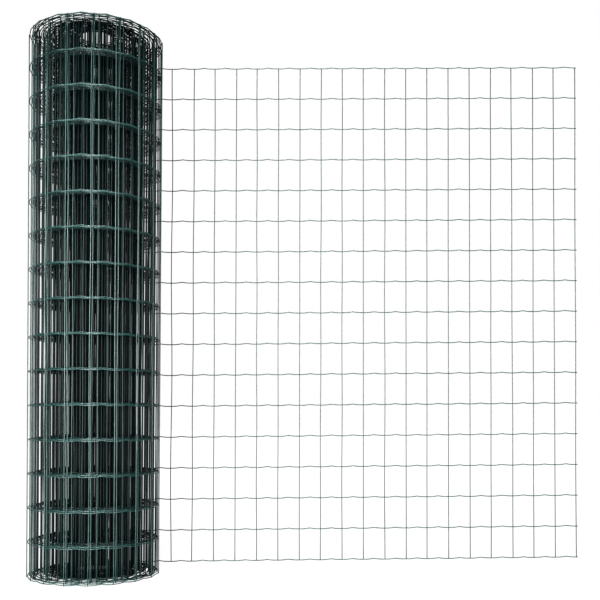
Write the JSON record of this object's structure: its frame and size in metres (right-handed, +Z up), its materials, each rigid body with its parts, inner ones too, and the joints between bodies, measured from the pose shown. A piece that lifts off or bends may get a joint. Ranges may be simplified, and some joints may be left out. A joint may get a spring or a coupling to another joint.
{
  "type": "roll of wire fencing",
  "caption": "Roll of green plastic-coated welded wire fencing standing on end, its free end drawn out flat from the back of the roll, with a hole through the middle for a carrying bar.",
  "frame": {"origin": "on the axis of the roll, at the floor it stands on", "axes": "+Z up along the axis of the roll, +X along the drawn out free end, +Y towards the back of the roll where the free end leaves it"},
  "size_m": [1.2886, 0.2988, 1.204],
  "materials": {
    "green_coat": "steel wire under a satin dark green plastic coat"
  },
  "bodies": {
    "root": {"wound_roll": "green_coat", "free_end": "green_coat"}
  },
  "joints": []
}
